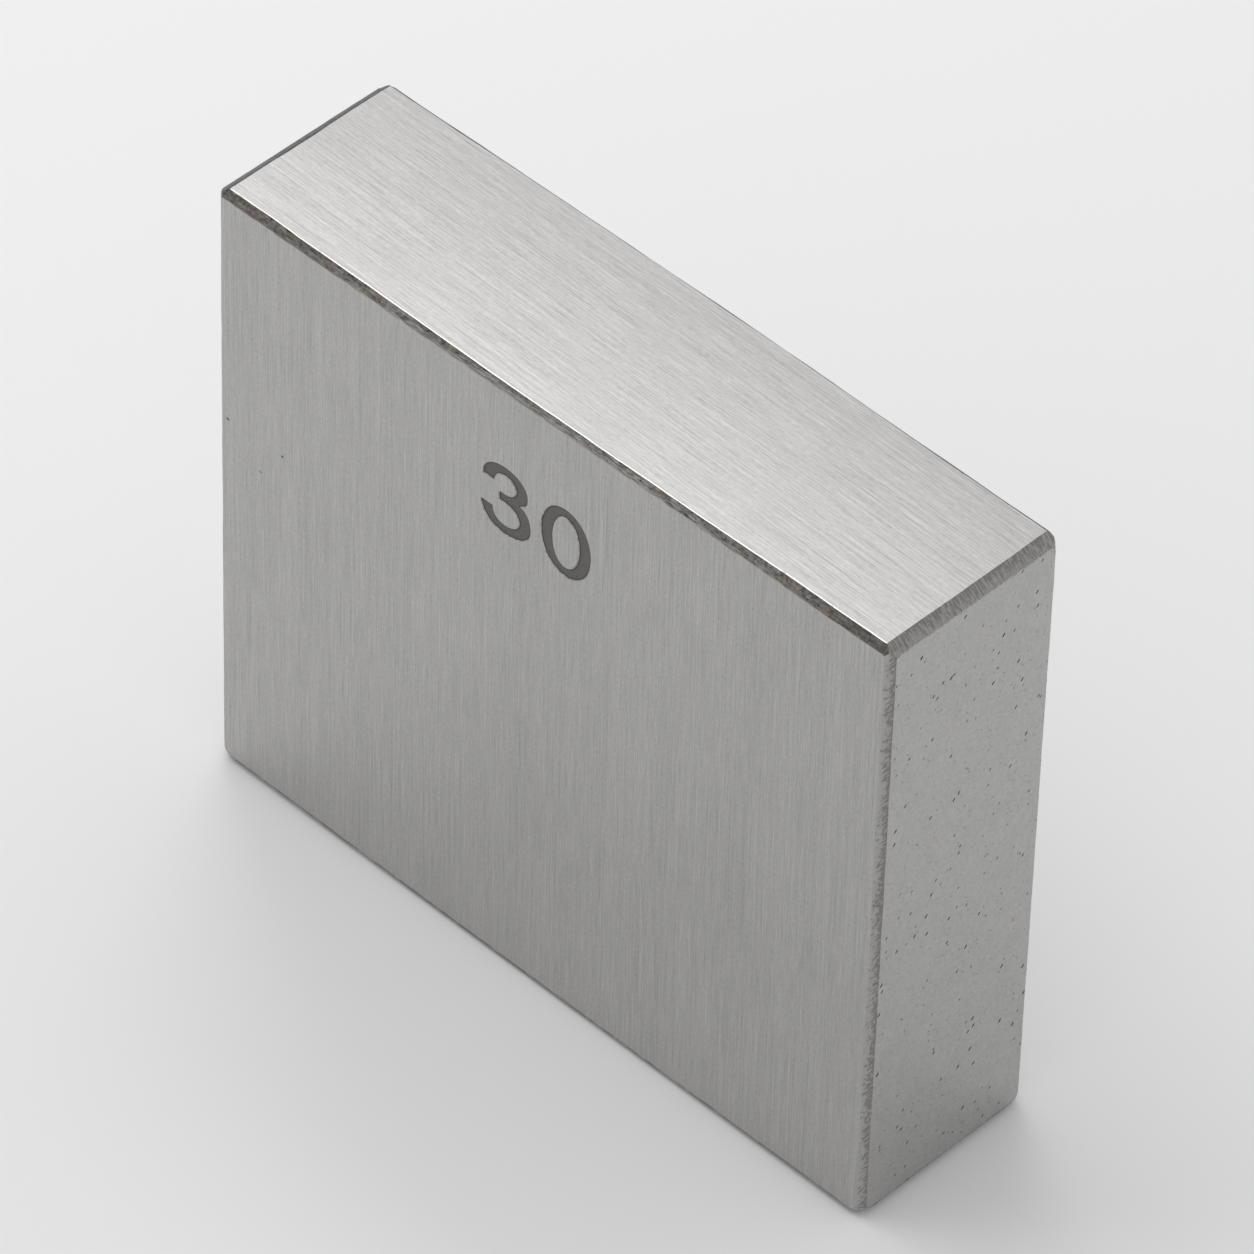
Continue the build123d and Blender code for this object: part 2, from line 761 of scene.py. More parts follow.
def flecked_steel(finish):
    """Flats of the side edges: dark flecks, dense at the narrow end and gone before the wide side."""
    material, tree, shader, place = new_metal("flecked_side_edge")
    slant, flecks_per_mm, patches_per_mm = 24, (2.0, 16.0, 4.5), (0.0, 0.0, 0.5)
    slanted = scaled(tree, turned(tree, place, (slant, 0, 0)), flecks_per_mm)
    flecks = noise_of(tree, slanted, 1.0, detail=2.0, roughness=0.6)
    patches = noise_of(tree, scaled(tree, place, patches_per_mm), 1.0, detail=1.0)
    from_end = inward(tree, place, X)
    breadth = (0.0, edge_breaks[Z] / MM)
    density = remap(tree, from_end, breadth, (0.13, -0.13))
    patchiness = remap(tree, patches, (0.3, 0.7), (-0.06, 0.06))
    dark = mask_of(tree, added(tree, flecks, density, patchiness), 0.44, 0.62)
    mottle = noise_of(tree, place, 5.0, detail=2.0)
    light = toned(tree, opaque(finish.ground), remap(tree, mottle, NOISE_RANGE, (0.92, 1.02)))
    light = toned(tree, light, remap(tree, from_end, breadth, (0.80, 0.97)))
    colour = mixed(tree, dark, light, opaque(finish.stroked * 1.1))
    set_surface(tree, shader, colour, remap(tree, flecks, (0.2, 0.8), (0.38, 0.55)))
    bump_from(tree, shader, flecks, 0.4, 0.006 * MM)
    return material


def polished_and_highlight_steel(finish):
    """Polished rounding along the measuring faces, with a few dull nicks and darker towards the left end; its
    colour is brighter than the lapped face's, partly a painted highlight on top of the one its shape catches.
    """
    material, tree, shader, place = new_metal("polished_rim")
    nicks = noise_of(tree, place, 3.0, detail=3.0, roughness=0.6)
    nicked = remap(tree, nicks, (0.28, 0.42), (0.60, 1.0), smooth=True)
    # Darker towards the left end
    darker_to_left = remap(tree, part_of(tree, place, X), (-17.0, -12.0), (0.85, 1.0))
    colour = toned(tree, opaque(finish.polished_and_highlight), maths(tree, "MULTIPLY", nicked, darker_to_left))
    set_surface(tree, shader, colour, remap(tree, nicks, NOISE_RANGE, (0.34, 0.28)))
    return material


def burnished_steel(finish):
    """Pale rim round the etched figures, broken up by fine nicks."""
    material, tree, shader, place = new_metal("burnished_rim")
    nicks = noise_of(tree, place, 5.0, detail=3.0, roughness=0.6)
    colour = toned(tree, opaque(finish.lapped), remap(tree, nicks, (0.30, 0.62), (0.45, 1.15)))
    set_surface(tree, shader, colour, remap(tree, nicks, NOISE_RANGE, (0.42, 0.28)))
    return material


def etched_steel(name, finish, lightness):
    """Floor and walls of the etched figures: dark, dull and grainy, and darker still as painted shade where
    the lightness is below 1.
    """
    material, tree, shader, place = new_metal(name, metallic=0.0)
    grain = noise_of(tree, place, 9.0, detail=3.0, roughness=0.65)
    tone = remap(tree, grain, NOISE_RANGE, (0.70 * lightness, 1.30 * lightness))
    tree.links.new(toned(tree, opaque(finish.etched), tone), shader.inputs["Base Color"])
    shader.inputs["Roughness"].default_value = 0.6
    bump_from(tree, shader, grain, 0.4, 0.008 * MM)
    return material


def pitted_steel(finish):
    """Inside of the pits: dark and dull."""
    material, tree, shader, place = new_metal(PIT_MATERIAL, metallic=0.0)
    grain = noise_of(tree, place, 3.0, detail=1.0)
    tone = remap(tree, grain, NOISE_RANGE, (0.6, 1.5))
    tree.links.new(toned(tree, opaque(finish.pitted), tone), shader.inputs["Base Color"])
    shader.inputs["Roughness"].default_value = 0.7
    return material


# Block


# Rows of small faces that round the mitres of a corner, and points to a station near it
CORNER_ROWS = 4
FINE_STATIONS = 4
# Points nearer to each other than this are one corner of the skin
WELD = 0.001 * MM
# How far apart the slow and the quick turns of a wandering border lie
SLOW_WANDER, QUICK_WANDER = 2.5 * MM, 0.6 * MM


def other_axes(axis):
    """The two axes besides one, in order."""
    return [other for other in (X, Y, Z) if other != axis]


def break_inset(axis, side_axis, share, reach, edge_number, edges):
    """How far the border of a flat lies from the edge, at a share of the way from -1 to 1 along it."""
    from_end = (1 - abs(share)) * reach
    fade = min(1.0, from_end / MM)
    row = edge_number * 7.3
    slow = noise.noise(Vector((share * reach / SLOW_WANDER, row, 0.5)))
    quick = noise.noise(Vector((share * reach / QUICK_WANDER, row, 40.5)))
    inset = leg(axis, side_axis) + fade * edges.wander * (slow + 0.4 * quick)
    if axis == X:
        inset -= edges.hollow * (1 - share * share) ** 2
    return inset


def border_points(axis, side_axis, face_axis, signs, edge_number, edges):
    """Points along one border of a flat, on the face that is square to face_axis."""
    reach = block_half[axis] - leg(side_axis, axis)
    steps = round(2 * reach / edges.station) * FINE_STATIONS
    points = []
    for step in range(steps + 1):
        from_end = min(step, steps - step)
        if step % FINE_STATIONS and from_end > 2 * FINE_STATIONS:
            continue
        share = 2 * step / steps - 1
        point = Vector((0, 0, 0))
        point[axis] = share * reach
        inset = break_inset(axis, side_axis, share, reach, edge_number, edges)
        point[side_axis] = signs[side_axis] * (block_half[side_axis] - inset)
        point[face_axis] = signs[face_axis] * block_half[face_axis]
        points.append(eased(point, face_axis, edges) + block_middle)
    return points


def sharp_corner(face_axis, signs):
    """The corner of the face that is square to an axis, from the block's middle."""
    point = Vector((0, 0, 0))
    for axis in (X, Y, Z):
        edge_axis = X + Y + Z - face_axis - axis
        inset = 0.0 if axis == face_axis else leg(edge_axis, axis)
        point[axis] = signs[axis] * (block_half[axis] - inset)
    return point


def eased(point, face_axis, edges):
    """A point on the border of a side or an end, brought onto the arc that rounds the corner there."""
    if face_axis == Z:
        return point
    signs = [math.copysign(1, part) for part in point]
    crisp = signs[Z] > 0 and min(signs[X], signs[Y]) < 0
    radius = edges.crisp_corner if crisp else edges.corner
    centre = sharp_corner(face_axis, signs)
    in_plane = other_axes(face_axis)
    for axis in in_plane:
        centre[axis] -= signs[axis] * radius
    spoke = point - centre
    if min(signs[axis] * spoke[axis] for axis in in_plane) > 0 and spoke.length > radius:
        return centre + spoke.normalized() * radius
    return point


def mitre_point(signs):
    """Where the three flats of a corner meet, from the block's middle."""
    rows = []
    for edge_axis in (X, Y, Z):
        rows.append([0.0 if axis == edge_axis else 1 / leg(edge_axis, axis) for axis in (X, Y, Z)])
    inset = Matrix(rows).inverted() @ Vector((1, 1, 1))
    return Vector([signs[axis] * (block_half[axis] - inset[axis]) for axis in (X, Y, Z)])


def blunted_point(weights, signs, edges):
    """A point of a corner's three flats, with the mitres rounded more the nearer they come to its tip.

    The weights of the three faces' corners add up to 1.
    """
    roundness = 2.0
    corners = [eased(sharp_corner(axis, signs), axis, edges) for axis in (X, Y, Z)]
    base = sum((corner * weight for corner, weight in zip(corners, weights)), Vector((0, 0, 0)))
    rise = sum(weight ** -roundness for weight in weights) ** (-1 / roundness)
    middle = sum(corners, Vector((0, 0, 0))) / 3
    return base + (mitre_point(signs) - middle) * rise * 3 + block_middle


def resampled(points, count):
    """As many points as asked for, evenly shared out along a border."""
    spread = (len(points) - 1) / (count - 1)
    return [points[round(index * spread)] for index in range(count)]


class Skin:
    """The block's skin in the making, in which points that meet are one corner."""

    def __init__(self):
        self.shape = bmesh.new()
        self.known = {}

    def corner(self, point):
        """The corner at a point."""
        key = tuple(round(part / WELD) for part in point)
        if key not in self.known:
            self.known[key] = self.shape.verts.new(point)
        return self.known[key]

    def face(self, corners, slot):
        """Adds a face with the finish of a slot."""
        self.shape.faces.new(corners).material_index = slot


def add_flat(skin, axis, signs, edge_number, edges):
    """Adds the flat of one edge with its shares of two corners, and returns its borders by face axis."""
    first_axis, second_axis = other_axes(axis)
    on_second = border_points(axis, first_axis, second_axis, signs, edge_number, edges)
    on_first = border_points(axis, second_axis, first_axis, signs, -edge_number, edges)
    count = min(len(on_first), len(on_second))
    on_second = [skin.corner(point) for point in resampled(on_second, count)]
    on_first = [skin.corner(point) for point in resampled(on_first, count)]
    for index in range(count - 1):
        ahead = index + 1
        skin.face((on_second[index], on_second[ahead], on_first[ahead], on_first[index]), EDGE_SLOTS[axis])
    for end, end_sign in ((0, -1), (-1, 1)):
        add_corner_share(skin, axis, {**signs, axis: end_sign}, on_second[end], on_first[end], edges)
    return {second_axis: on_second, first_axis: on_first}


def add_corner_share(skin, axis, signs, second_corner, first_corner, edges):
    """Adds a flat's share of a corner: rows of small faces that widen from the tip to the end of the flat."""
    slot = EDGE_SLOTS[axis]
    first_axis, second_axis = other_axes(axis)
    rows = []
    for row in range(CORNER_ROWS):
        rows.append([])
        for step in range(row + 1):
            weights = [0.0, 0.0, 0.0]
            weights[axis] = (CORNER_ROWS - row) / CORNER_ROWS / 3
            weights[second_axis] = weights[axis] + (row - step) / CORNER_ROWS
            weights[first_axis] = weights[axis] + step / CORNER_ROWS
            rows[row].append(skin.corner(blunted_point(weights, signs, edges)))
    for upper, lower in zip(rows, rows[1:]):
        for index, corner in enumerate(upper):
            skin.face((corner, lower[index], lower[index + 1]), slot)
        for index in range(len(upper) - 1):
            skin.face((upper[index], lower[index + 1], upper[index + 1]), slot)
    skin.face((second_corner, *rows[-1], first_corner), slot)


def add_side(skin, axis, ring):
    """Adds one of the six faces, inside the borders of the flats round it."""
    first_axis, second_axis = other_axes(axis)

    def direction(corner):
        """The direction of a corner from the middle of the face, as an angle."""
        from_middle = corner.co - block_middle
        shares = [from_middle[other] / block_half[other] for other in (first_axis, second_axis)]
        return math.atan2(shares[1], shares[0])

    skin.face(sorted(set(ring), key=direction), FACE_SLOTS[axis])


def block_mesh(edges):
    """The block's skin: six faces, and twelve flats with wandering borders and mitred corners."""
    skin = Skin()
    rings = {(axis, sign): [] for axis in (X, Y, Z) for sign in (-1, 1)}
    every_edge = itertools.product((X, Y, Z), (-1, 1), (-1, 1))
    for edge_number, (axis, *edge_signs) in enumerate(every_edge, start=1):
        signs = dict(zip(other_axes(axis), edge_signs))
        for face_axis, border in add_flat(skin, axis, signs, edge_number, edges).items():
            rings[face_axis, signs[face_axis]] += border
    for (axis, _), ring in rings.items():
        add_side(skin, axis, ring)
    shape = skin.shape
    bmesh.ops.recalc_face_normals(shape, faces=shape.faces)
    rims = []
    for edge in shape.edges:
        if {side.material_index for side in edge.link_faces} == {LAPPED, STONED}:
            rims.append(edge)
    bmesh.ops.bevel(
        shape,
        geom=rims,
        offset=edges.rounding,
        segments=3,
        profile=0.5,
        affect="EDGES",
        clamp_overlap=True,
        material=POLISHED_AND_HIGHLIGHT,
    )
    mesh = bpy.data.meshes.new(BLOCK_PIECE)
    shape.to_mesh(mesh)
    shape.free()
    return mesh


def evaluated_mesh(item):
    """A plain mesh of an object with its modifiers applied."""
    depsgraph = bpy.context.evaluated_depsgraph_get()
    return bpy.data.meshes.new_from_object(item.evaluated_get(depsgraph), depsgraph=depsgraph)


def settle(item):
    """Makes an object's modifiers part of its mesh."""
    mesh = evaluated_mesh(item)
    item.modifiers.clear()
    item.data = mesh


def cut(item, cutter):
    """Cuts one object out of another, and removes the cutter."""
    modifier = item.modifiers.new("cut", "BOOLEAN")
    modifier.operation = "DIFFERENCE"
    modifier.solver = "EXACT"
    modifier.use_self = True
    modifier.material_mode = "TRANSFER"
    modifier.object = cutter
    bpy.context.view_layer.update()
    settle(item)
    bpy.data.objects.remove(cutter)


class GAUGEBLOCK_OT_build_block(bpy.types.Operator):
    """Build the block's skin with its stoned edges and give each face its finish"""

    bl_idname = "gaugeblock.build_block"
    bl_label = "Build block"

    def execute(self, context):
        finish = context.scene.gauge_finish
        effects = {
            "grain": grain_lines_group(),
            "cloud": cloudy_tone_group(),
            "fray": frayed_border_group(),
        }
        mesh = block_mesh(context.scene.gauge_edges)
        for material in (
            lapped_steel(finish, effects),
            ground_steel(finish, effects, context.scene.gauge_edges),
            satin_steel(finish, effects),
            stoned_steel(finish),
            stroked_steel(finish),
            flecked_steel(finish),
            polished_and_highlight_steel(finish),
        ):
            mesh.materials.append(material)
        item = bpy.data.objects.new(BLOCK_PIECE, mesh)
        context.scene.collection.objects.link(item)
        return {"FINISHED"}


# Figures


# Directions in which an outline leaves or reaches a knot
UP, DOWN, LEFT, RIGHT = Vector((0, 1)), Vector((0, -1)), Vector((-1, 0)), Vector((1, 0))
STRAIGHT = None

# Sizes of the figures, as shares of their height
FIGURE_WIDTH = 0.770
FIGURE_STEM = 0.171
FIGURE_BAR = 0.122
FIGURE_GAP = 0.165


def nought_outlines():
    """The outer and inner outlines of a nought: upright ovals with flattened sides."""
    outlines = []
    for side, level in ((0.0, 0.0), (FIGURE_STEM, FIGURE_BAR)):
        left, right = side, FIGURE_WIDTH - side
        middle = FIGURE_WIDTH / 2
        outlines.append(
            [
                ((left, 0.5), UP, UP),
                ((middle, 1 - level), RIGHT, RIGHT),
                ((right, 0.5), DOWN, DOWN),
                ((middle, level), LEFT, LEFT),
            ]
        )
    return outlines


def three_outlines():
    """The outline of a three, from the upper end of its stroke and round by the right."""
    middle = 0.374
    upper_right, upper_level = 0.715, 0.750
    lower_right, lower_level = FIGURE_WIDTH, 0.287
    notch, notch_slope = (0.594, 0.557), Vector((-0.80, -0.60))
    upper_end, lower_end = 0.715, 0.303
    upper_left, lower_left = 0.018, 0.0
    bar_left, bar_bend, bar_foot = 0.280, 0.375, 0.470
    bar_head = bar_foot + FIGURE_BAR
    return [
        [
            ((upper_left, upper_end), STRAIGHT, UP),
            ((middle, 1.0), RIGHT, RIGHT),
            ((upper_right, upper_level), DOWN, DOWN),
            (notch, notch_slope, RIGHT),
            ((lower_right, lower_level), DOWN, DOWN),
            ((middle, 0.0), LEFT, LEFT),
            ((lower_left, lower_end), UP, STRAIGHT),
            ((lower_left + FIGURE_STEM, lower_end), STRAIGHT, DOWN),
            ((middle, FIGURE_BAR), RIGHT, RIGHT),
            ((lower_right - FIGURE_STEM, lower_level), UP, UP),
            ((bar_bend, bar_foot), LEFT, STRAIGHT),
            ((bar_left, bar_foot), STRAIGHT, STRAIGHT),
            ((bar_left, bar_head), STRAIGHT, STRAIGHT),
            ((bar_bend, bar_head), STRAIGHT, RIGHT),
            ((upper_right - FIGURE_STEM, upper_level), UP, UP),
            ((middle, 1 - FIGURE_BAR), LEFT, LEFT),
            ((upper_left + FIGURE_STEM, upper_end), DOWN, STRAIGHT),
        ]
    ]


FIGURE_OUTLINES = {"0": nought_outlines, "3": three_outlines}


def outline_points(knots):
    """Points along a closed outline, each stretch a curve that keeps the directions of its two knots."""
    fullness = 0.58
    spacing = 0.045
    points = []
    for (start, _, leaving), (end, arriving, _) in zip(knots, knots[1:] + knots[:1]):
        start, end = Vector(start), Vector(end)
        span = end - start
        if leaving is STRAIGHT or arriving is STRAIGHT:
            points.append(start)
            continue
        first = start + leaving * fullness * abs(span.dot(leaving))
        last = end - arriving * fullness * abs(span.dot(arriving))
        steps = round(span.length / spacing)
        points += interpolate_bezier(start, first, last, end, steps + 1)[:-1]
    return points


def moved_outline(points, distance):
    """A closed outline moved sideways: to its left for a positive distance."""
    sharpest = 0.3
    moved = []
    for index, point in enumerate(points):
        before = (point - points[index - 1]).normalized()
        after = (points[(index + 1) % len(points)] - point).normalized()
        side = (before + after).normalized().orthogonal()
        lengthened = distance / max(sharpest, side.dot(before.orthogonal()))
        moved.append(point + side * lengthened)
    return moved


def add_figure(shape, figure, start, figures):
    """Adds the cutter of one figure: a pale sloping rim, a border of darker etched steel that is painted
    shade on the steep wall and the floor's edge, and a grainy floor.

    The start is the lower left corner of the figure, in shares of its height.
    """
    proud = 0.05 * MM
    # How far out from the outline each ring of the wall lies, and how deep
    levels = (
        (figures.rim, -proud),
        (figures.rim, 0.0),
        (0.0, figures.rim),
        (0.0, figures.depth),
        (-figures.border, figures.depth),
    )
    # The steep walls and the ring at the floor's edge take the darker border finish, which is painted shade
    wall_slots = (0, 0, 1, 1)
    lid_slots = {0: 0, len(levels) - 1: 2}
    rings = {level: [] for level in lid_slots}
    for number, knots in enumerate(FIGURE_OUTLINES[figure]()):
        outline = [(start + point) * figures.size_height for point in outline_points(knots)]
        clockwise = sum(a.cross(b) for a, b in zip(outline, outline[1:] + outline[:1])) < 0
        inner = number > 0
        outward = 1 if clockwise != inner else -1
        loops = []
        for spread, depth in levels:
            loop = moved_outline(outline, outward * spread)
            loops.append([shape.verts.new((point.x, depth, point.y)) for point in loop])
        for slot, upper, lower in zip(wall_slots, loops, loops[1:]):
            for index in range(len(upper)):
                ahead = (index + 1) % len(upper)
                wall = shape.faces.new((upper[index], upper[ahead], lower[ahead], lower[index]))
                wall.material_index = slot
        for level, ring in rings.items():
            loop = loops[level]
            ring += [shape.edges.get((a, b)) for a, b in zip(loop, loop[1:] + loop[:1])]
    for level, slot in lid_slots.items():
        filled = bmesh.ops.triangle_fill(shape, edges=rings[level], use_beauty=True)
        for item in filled["geom"]:
            if isinstance(item, bmesh.types.BMFace):
                item.material_index = slot


def figure_cutter(figures, materials):
    """A solid that etches the row of size figures."""
    pitch = FIGURE_WIDTH + FIGURE_GAP
    row_width = len(figures.size_text) * pitch - FIGURE_GAP
    shape = bmesh.new()
    for place, figure in enumerate(figures.size_text):
        add_figure(shape, figure, Vector((place * pitch - row_width / 2, -0.5)), figures)
    bmesh.ops.recalc_face_normals(shape, faces=shape.faces)
    middle = Vector((figures.size_aside, node_low.y, node_high.z - figures.size_drop))
    bmesh.ops.translate(shape, verts=shape.verts, vec=middle)
    mesh = bpy.data.meshes.new("figure_cutter")
    shape.to_mesh(mesh)
    shape.free()
    for material in materials:
        mesh.materials.append(material)
    return bpy.data.objects.new("figure_cutter", mesh)


class GAUGEBLOCK_OT_etch_figures(bpy.types.Operator):
    """Etch the nominal size into the front wide side"""

    bl_idname = "gaugeblock.etch_figures"
    bl_label = "Etch figures"

    def execute(self, context):
        figures = context.scene.gauge_figures
        finish = context.scene.gauge_finish
        materials = (
            burnished_steel(finish),
            # The border: etched steel darkened as painted shade
            etched_steel("etched_border", finish, 0.70),
            etched_steel("etched_floor", finish, 1.0),
        )
        cutter = figure_cutter(figures, materials)
        context.scene.collection.objects.link(cutter)
        cut(bpy.data.objects[BLOCK_PIECE], cutter)
        return {"FINISHED"}


# Pits


def pit_tree(end_material, pit_material):
    """A tree that scatters pit-shaped cutters over the narrow ends."""
    tree = bpy.data.node_groups.new("Scattered pits", "GeometryNodeTree")
    names = {}
    for label, kind in (
        ("Geometry", "NodeSocketGeometry"),
        ("Density", "NodeSocketFloat"),
        ("Length", "NodeSocketFloat"),
        ("Width", "NodeSocketFloat"),
        ("Depth", "NodeSocketFloat"),
        ("Slant", "NodeSocketFloat"),
        ("Seed", "NodeSocketInt"),
    ):
        names[label] = tree.interface.new_socket(label, in_out="INPUT", socket_type=kind).identifier
    tree.interface.new_socket("Geometry", in_out="OUTPUT", socket_type="NodeSocketGeometry")
    given = tree.nodes.new("NodeGroupInput").outputs
    on_ends = add_node(tree, "GeometryNodeMaterialSelection", {"Material": end_material}).outputs[0]
    spots = add_node(
        tree,
        "GeometryNodeDistributePointsOnFaces",
        {
            "Mesh": given["Geometry"],
            "Selection": on_ends,
            "Density": given["Density"],
            "Seed": given["Seed"],
        },
    ).outputs
    along = add_node(
        tree,
        "ShaderNodeCombineXYZ",
        {"Y": maths(tree, "COSINE", given["Slant"]), "Z": maths(tree, "SINE", given["Slant"])},
    ).outputs[0]
    aligned = add_node(
        tree,
        "FunctionNodeAlignRotationToVector",
        {"Rotation": spots["Rotation"], "Vector": along},
        axis="X",
        pivot_axis="Z",
    ).outputs[0]
    # Most pits are small: a random share of the full size, pushed towards the smallest
    smallest, push = 0.26, 3.0
    drawn = add_node(tree, "FunctionNodeRandomValue", data_type="FLOAT").outputs[1]
    share = remap(tree, maths(tree, "POWER", drawn, push), (0.0, 1.0), (smallest, 1.0))
    half_sizes = add_node(
        tree,
        "ShaderNodeCombineXYZ",
        {
            "X": maths(tree, "MULTIPLY", given["Length"], 0.5),
            "Y": maths(tree, "MULTIPLY", given["Width"], 0.5),
            "Z": given["Depth"],
        },
    ).outputs[0]
    size = add_node(tree, "ShaderNodeVectorMath", {0: half_sizes}, operation="SCALE")
    tree.links.new(share, size.inputs["Scale"])
    # The ball is lifted, so that none of its edges lies in the face it cuts
    lift = 0.15
    ball = add_node(tree, "GeometryNodeMeshIcoSphere", {"Radius": 1.0, "Subdivisions": 2}).outputs[0]
    lifted = {"Geometry": ball, "Translation": (0.0, 0.0, lift)}
    pit = add_node(tree, "GeometryNodeTransform", lifted).outputs[0]
    pits = add_node(
        tree,
        "GeometryNodeInstanceOnPoints",
        {"Points": spots["Points"], "Instance": pit, "Rotation": aligned, "Scale": size.outputs[0]},
    ).outputs[0]
    solid = add_node(tree, "GeometryNodeRealizeInstances", {"Geometry": pits}).outputs[0]
    dark = add_node(tree, "GeometryNodeSetMaterial", {"Geometry": solid, "Material": pit_material}).outputs[0]
    tree.links.new(dark, tree.nodes.new("NodeGroupOutput").inputs[0])
    return tree, names


# Specks on the front wide side: from its middle, above its foot, length and width, in millimetres
FRONT_SPECKS = (
    (-16.89, 18.46, 0.17, 0.09),
    (-13.90, 18.50, 0.14, 0.09),
    (-15.11, 16.88, 0.16, 0.05),
)
SPECK_SLANT = math.radians(29)


def add_specks(mesh):
    """Adds cutters for the few specks on the front wide side to a mesh of pit cutters."""
    pit_slot = mesh.materials.find(PIT_MATERIAL)
    shape = bmesh.new()
    shape.from_mesh(mesh)
    for aside, level, length, width in FRONT_SPECKS:
        place = Matrix.Translation((aside * MM, node_low.y, node_low.z + level * MM))
        turn = Matrix.Rotation(SPECK_SLANT, 4, "Y")
        size = Matrix.Diagonal((length / 2 * MM, width / 2 * MM, width / 2 * MM, 1.0))
        speck = bmesh.ops.create_icosphere(shape, subdivisions=2, radius=1.0, matrix=place @ turn @ size)
        for corner in speck["verts"]:
            for face in corner.link_faces:
                face.material_index = pit_slot
    shape.to_mesh(mesh)
    shape.free()


class GAUGEBLOCK_OT_pit_ends(bpy.types.Operator):
    """Cut fine pits into the narrow ends and hand the finished block over to the frame"""

    bl_idname = "gaugeblock.pit_ends"
    bl_label = "Pit ends"

    def execute(self, context):
        pits = context.scene.gauge_pits
        block = bpy.data.objects[BLOCK_PIECE]
        cutter = bpy.data.objects.new("pit_cutter", block.data.copy())
        context.scene.collection.objects.link(cutter)
        end_material = bpy.data.materials[END_MATERIAL]
        tree, names = pit_tree(end_material, pitted_steel(context.scene.gauge_finish))
        modifier = cutter.modifiers.new("pits", "NODES")
        modifier.node_group = tree
        end_area = 4 * block_half.y * block_half.z
        modifier[names["Density"]] = pits.per_end / end_area
        modifier[names["Length"]] = pits.length
        modifier[names["Width"]] = pits.width
        modifier[names["Depth"]] = pits.depth
        modifier[names["Slant"]] = pits.slant
        modifier[names["Seed"]] = pits.seed
        context.view_layer.update()
        settle(cutter)
        add_specks(cutter.data)
        cut(block, cutter)
        finish_block(block)
        return {"FINISHED"}


def sharpen_borders(mesh):
    """Keeps the borders of faces and cuts crisp, so that no shading spreads over a flat face."""
    slots_at = {}
    for polygon in mesh.polygons:
        for key in polygon.edge_keys:
            slots_at.setdefault(key, set()).add(polygon.material_index)
    flat_slots = {*EDGE_SLOTS.values(), POLISHED_AND_HIGHLIGHT}
    for edge in mesh.edges:
        slots = slots_at[edge.key]
        if len(slots) > 1 and not slots <= flat_slots:
            edge.use_edge_sharp = True


# The sheet that the skin is laid out on, in pixels: the height of each row, by the slot of what lies in it
SHEET_SIZE = 1024
SHEET_GUTTER = 2
SHEET_ROWS = {GROUND: 300, LAPPED: 190, SATIN: 124, STONED: 11, FLECKED: 11, STROKED: 13, POLISHED_AND_HIGHLIGHT: 5}
# The axes that run across and up the sheet for each slot, and how much of the second one is laid out
SHEET_AXES = {
    GROUND: (X, Z, 2 * block_half.z),
    LAPPED: (X, Y, 2 * block_half.y),
    SATIN: (Z, Y, 2 * block_half.y),
    STONED: (X, Y, 0.36 * MM),
    FLECKED: (Z, X, 0.36 * MM),
    STROKED: (Y, X, 0.56 * MM),
    POLISHED_AND_HIGHLIGHT: (X, Z, 0.02 * MM),
}


def is_side(slot):
    """Whether a slot is that of the faces, rather than of the flats and roundings along their edges."""
    return slot in FACE_SLOTS.values()


def skin_slot(slot, offset):
    """The slot that a face of the skin is laid out with: cuts lie in the side they were cut into."""
    if slot <= POLISHED_AND_HIGHLIGHT:
        return slot
    return FACE_SLOTS[min((X, Y, Z), key=lambda axis: block_half[axis] - abs(offset[axis]))]


def skin_signs(slot, offset):
    """Which of the sides or flats of a slot a face belongs to, by the signs along their axes."""
    along, across, _ = SHEET_AXES[slot]
    axes = [X + Y + Z - along - across] if is_side(slot) else other_axes(along)
    return tuple(offset[axis] > 0 for axis in axes)


def sheet_places():
    """The low corner and the size of each side and flat on the sheet, as shares of it."""
    places = {}
    level = SHEET_GUTTER
    for slot, height in SHEET_ROWS.items():
        in_row = 1 if slot == GROUND else 2
        pitch = SHEET_SIZE // in_row
        every_sign = itertools.product((False, True), repeat=1 if is_side(slot) else 2)
        for index, signs in enumerate(every_sign):
            left = SHEET_GUTTER + index % in_row * pitch
            place = (left, level, pitch - 2 * SHEET_GUTTER, height)
            places[slot, signs] = [part / SHEET_SIZE for part in place]
            if index % in_row == in_row - 1:
                level += height + SHEET_GUTTER
    return places


def lay_out_skin(mesh):
    """Lays the block's skin out flat on one sheet, each side and flat in a place of its own."""
    places = sheet_places()
    layer = mesh.uv_layers.new(name="OFBake")
    for polygon in mesh.polygons:
        offset = polygon.center - block_middle
        slot = skin_slot(polygon.material_index, offset)
        along, across, breadth = SHEET_AXES[slot]
        left, low, width, height = places[slot, skin_signs(slot, offset)]
        for loop in polygon.loop_indices:
            point = mesh.vertices[mesh.loops[loop].vertex_index].co - block_middle
            share_along = (point[along] + block_half[along]) / (2 * block_half[along])
            from_border = point[across] if is_side(slot) else -abs(point[across])
            share_across = (block_half[across] + from_border) / breadth
            layer.uv[loop].vector = (left + width * share_along, low + height * share_across)


def finish_block(block):
    """Smooths the roundings, keeps the faces flat, lays out the skin and ties the piece to the frame."""
    for polygon in block.data.polygons:
        polygon.use_smooth = True
    block.data.set_sharp_from_angle(angle=math.radians(40))
    sharpen_borders(block.data)
    weighting = block.modifiers.new("flat_faces", "WEIGHTED_NORMAL")
    weighting.keep_sharp = True
    bpy.context.view_layer.update()
    settle(block)
    lay_out_skin(block.data)
    block.data.name = BLOCK_PIECE
    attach(block, BLOCK_BODY)
    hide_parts(BLOCK_NODE)


# Stage


